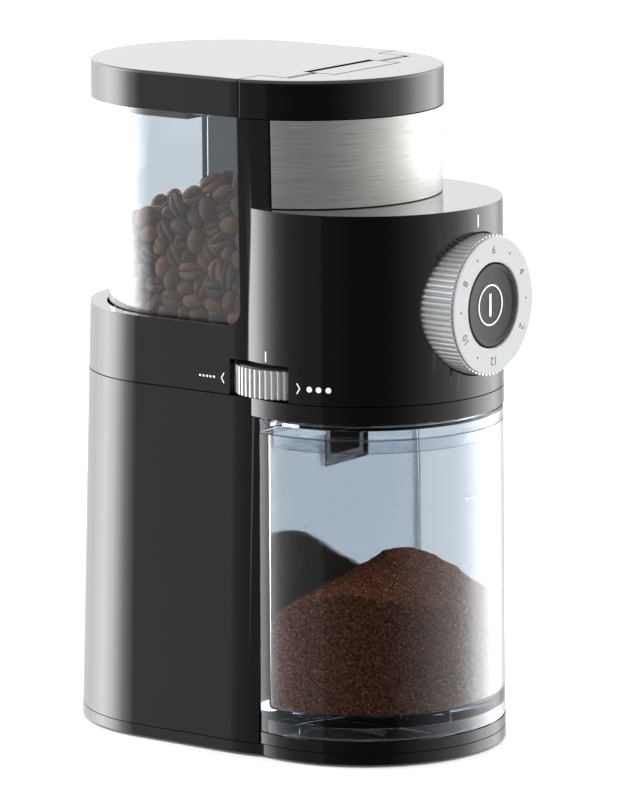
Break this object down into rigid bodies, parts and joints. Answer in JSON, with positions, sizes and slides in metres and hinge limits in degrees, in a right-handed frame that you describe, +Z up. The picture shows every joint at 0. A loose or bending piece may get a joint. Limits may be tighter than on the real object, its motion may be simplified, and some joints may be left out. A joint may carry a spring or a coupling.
{
  "type": "burr coffee grinder",
  "caption": "Upright burr coffee grinder: clear bean hopper with hinged lid, timer dial with start button, grind thumbwheel, motor-driven flat burrs, clear slide-out grounds container.",
  "frame": {"origin": "centre of the bounding box on the plane the feet stand on", "axes": "+Z up, -Y is the front where the dial is, X runs across"},
  "size_m": [0.1066, 0.179, 0.251],
  "materials": {
    "gloss_black": "high gloss",
    "matt_black": "fine texture",
    "silver_plastic": "satin metallic",
    "dial_white": "satin metallic",
    "button_grey": "metallic",
    "steel": "brushed",
    "clear": "clear",
    "rubber": "matt",
    "zinc": "zinc plated",
    "burr_steel": "hardened steel",
    "core": "laminated",
    "copper": "copper",
    "nylon": "natural",
    "board": "solder mask"
  },
  "bodies": {
    "housing": {"lower_housing": "gloss_black", "upper_housing": "gloss_black", "front_cap": "gloss_black", "hinge_cover": "gloss_black", "base_plate": "matt_black", "finger_guard": "matt_black", "button_switch": "matt_black", "capacitor": "matt_black", "lid_switch": "matt_black", "grinding_chamber": "matt_black", "chute": "matt_black", "motor_mount": "matt_black", "steel_band": "steel", "hopper": "clear", "foot_1": "rubber", "foot_2": "rubber", "foot_3": "rubber", "foot_4": "rubber", "cord_gland": "rubber", "base_screw_1": "zinc", "base_screw_2": "zinc", "base_screw_3": "zinc", "base_screw_4": "zinc", "motor_screw_1": "zinc", "motor_screw_2": "zinc", "motor_screw_3": "zinc", "hinge_pin": "zinc", "adjuster_axle": "zinc", "motor_cap_top": "zinc", "motor_cap_bottom": "zinc", "bearing_top": "burr_steel", "bearing_bottom": "burr_steel", "motor_can": "core", "timer_module": "nylon", "terminal_block": "nylon", "control_board": "board"},
    "lid": {"hopper_lid": "gloss_black", "lid_plug": "matt_black"},
    "dial": {"dial_knob": "silver_plastic", "dial_face": "dial_white"},
    "button": {"start_button": "button_grey"},
    "wheel": {"thumbwheel": "silver_plastic", "pinion": "nylon"},
    "ring": {"adjust_ring": "nylon"},
    "upper_burr_holder": {"burr_carrier": "matt_black", "upper_burr": "burr_steel"},
    "rotor": {"motor_shaft": "zinc", "rotor_core": "core", "commutator": "copper", "fan": "matt_black", "sweeper": "zinc", "lower_burr": "burr_steel", "burr_nut": "zinc"},
    "grounds_container": {"container": "clear", "container_lid": "clear"}
  },
  "joints": [
    {"name": "lid_hinge", "type": "hinge", "parent": "housing", "child": "lid", "pos_m": [0, -0.02205, 0.2481], "axis": [1, 0, 0], "range_deg": [0, 90]},
    {"name": "dial_turn", "type": "hinge", "parent": "housing", "child": "dial", "pos_m": [0, -0.08125, 0.1684], "axis": [0, -1, 0], "range_deg": [-180, 120]},
    {"name": "button_press", "type": "slide", "parent": "housing", "child": "button", "axis": [0, 1, 0], "range_m": [0, 0.0018], "stiffness_N_per_m": 600, "springref_m": -0.0008},
    {"name": "wheel_turn", "type": "hinge", "parent": "housing", "child": "wheel", "pos_m": [-0.03, -0.02075, 0.141], "axis": [0, 0, 1], "range_deg": [-95, 95]},
    {"name": "ring_turn", "type": "hinge", "parent": "housing", "child": "ring", "pos_m": [0, 0.02889, 0.141], "axis": [0, 0, 1], "range_deg": [-30, 30]},
    {"name": "burr_lift", "type": "slide", "parent": "housing", "child": "upper_burr_holder", "axis": [0, 0, 1], "range_m": [-0.00052, 0.00052]},
    {"name": "rotor_spin", "type": "hinge", "parent": "housing", "child": "rotor", "pos_m": [0, 0.02889, 0.061], "axis": [0, 0, 1], "continuous": true},
    {"name": "container_slide", "type": "slide", "parent": "housing", "child": "grounds_container", "axis": [0, -1, 0], "range_m": [0, 0.12]}
  ],
  "couplings": [
    {"joint": "ring_turn", "follows": "burr_lift", "rad_per_m": 1000},
    {"joint": "wheel_turn", "follows": "burr_lift", "rad_per_m": -3142.9}
  ]
}
